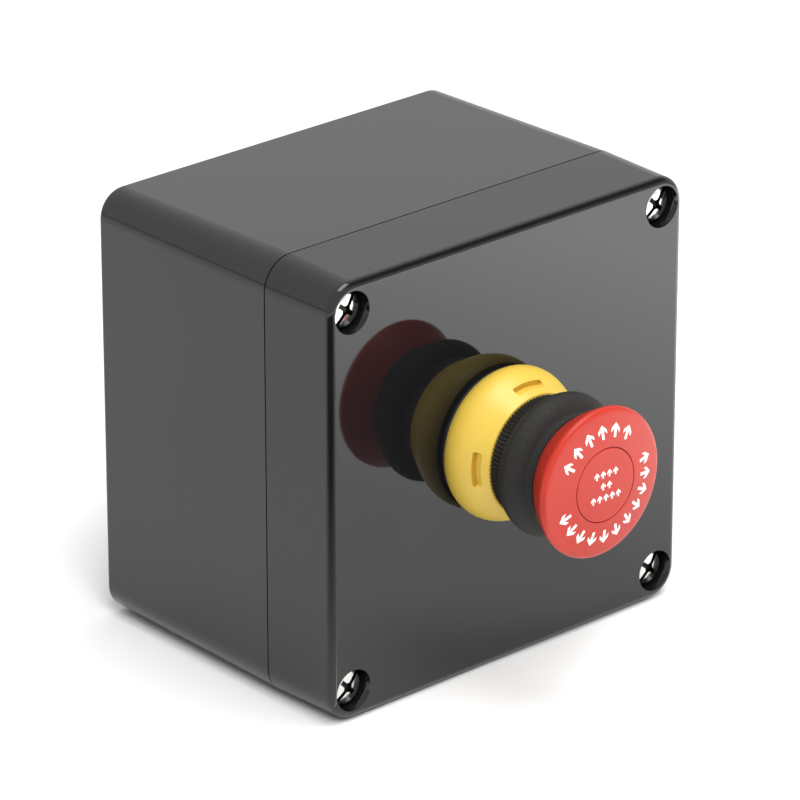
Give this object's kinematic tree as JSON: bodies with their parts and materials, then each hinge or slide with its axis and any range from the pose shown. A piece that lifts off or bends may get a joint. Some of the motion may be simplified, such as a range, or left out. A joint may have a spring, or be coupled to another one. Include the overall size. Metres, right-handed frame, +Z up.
{
  "type": "emergency stop button",
  "caption": "Cube-like black wall box with a red mushroom push button on a yellow collar and black bellows; pushing the head in opens the contacts behind the lid until it is pulled out again.",
  "frame": {"origin": "centre of the flat back face that goes against the wall", "axes": "+Z up, -Y out of the wall towards the user along the button, +X to the right as seen by the user"},
  "size_m": [0.122, 0.1301, 0.12],
  "materials": {
    "enclosure_black": "deep black glossy glass-filled polyester, faint mould texture",
    "seal_rubber": "matt black rubber",
    "screw_steel": "bright nickel-plated steel",
    "brass_plain": "plain turned brass",
    "collar_yellow": "satin warm yellow plastic",
    "ring_black": "satin black plastic, serrated edge",
    "bellows_rubber": "matt black rubber with a fine dusty grain",
    "head_red": "satin signal red plastic",
    "barrel_black": "black glass-filled plastic",
    "stem_white": "natural acetal",
    "steel_zinc": "zinc-plated steel",
    "spring_steel": "drawn spring wire",
    "block_grey": "mid grey plastic",
    "block_cover": "light grey plastic",
    "plunger_red": "red plastic",
    "contact_silver": "silver-plated copper alloy"
  },
  "bodies": {
    "enclosure": {"base_box": "enclosure_black", "lid": "enclosure_black", "lid_gasket": "seal_rubber", "lid_screws": "screw_steel", "lid_screw_seals": "seal_rubber", "screw_inserts": "brass_plain", "floor_inserts": "brass_plain", "earth_bar": "brass_plain", "earth_clamps": "steel_zinc", "earth_screws": "steel_zinc", "collar_seal": "seal_rubber", "yellow_collar": "collar_yellow", "barrel": "barrel_black", "clamp_ring": "ring_black", "bellows": "bellows_rubber", "latch_spring_top": "spring_steel", "latch_spring_bottom": "spring_steel", "latch_band": "steel_zinc", "locating_washer": "steel_zinc", "lock_nut": "barrel_black", "contact_holder": "block_grey", "holder_screws": "steel_zinc", "contact_housing_left": "block_grey", "contact_cover_left": "block_cover", "contact_spring_left": "spring_steel", "fixed_contacts_left": "contact_silver", "terminal_screws_left": "steel_zinc", "terminal_clamps_left": "steel_zinc", "contact_housing_right": "block_grey", "contact_cover_right": "block_cover", "contact_spring_right": "spring_steel", "fixed_contacts_right": "contact_silver", "terminal_screws_right": "steel_zinc", "terminal_clamps_right": "steel_zinc"},
    "head": {"mushroom_head": "head_red", "legend_disc": "head_red", "head_screw": "steel_zinc", "stem": "stem_white", "pusher_plate": "barrel_black", "pusher_screw": "steel_zinc"},
    "contact_left": {"contact_plunger_left": "plunger_red", "contact_bridge_left": "contact_silver"},
    "contact_right": {"contact_plunger_right": "plunger_red", "contact_bridge_right": "contact_silver"},
    "latch_top": {"latch_pin_top": "steel_zinc"},
    "latch_bottom": {"latch_pin_bottom": "steel_zinc"}
  },
  "joints": [
    {"name": "head_push", "type": "slide", "parent": "enclosure", "child": "head", "axis": [0, 1, 0], "range_m": [0, 0.005], "deforming": ["bellows"]},
    {"name": "contact_travel_left", "type": "slide", "parent": "enclosure", "child": "contact_left", "axis": [0, 1, 0], "range_m": [0, 0.005], "deforming": ["contact_spring_left"]},
    {"name": "contact_travel_right", "type": "slide", "parent": "enclosure", "child": "contact_right", "axis": [0, 1, 0], "range_m": [0, 0.005], "deforming": ["contact_spring_right"]},
    {"name": "latch_travel_top", "type": "slide", "parent": "enclosure", "child": "latch_top", "axis": [0, 0, -1], "range_m": [0, 0.0009], "deforming": ["latch_spring_top"]},
    {"name": "latch_travel_bottom", "type": "slide", "parent": "enclosure", "child": "latch_bottom", "axis": [0, 0, 1], "range_m": [0, 0.0009], "deforming": ["latch_spring_bottom"]}
  ],
  "couplings": [
    {"joint": "contact_travel_left", "follows": "head_push", "ratio": 1},
    {"joint": "contact_travel_right", "follows": "head_push", "ratio": 1},
    {"joint": "latch_travel_top", "follows": "head_push", "ratio": 0.18},
    {"joint": "latch_travel_bottom", "follows": "head_push", "ratio": 0.18}
  ]
}
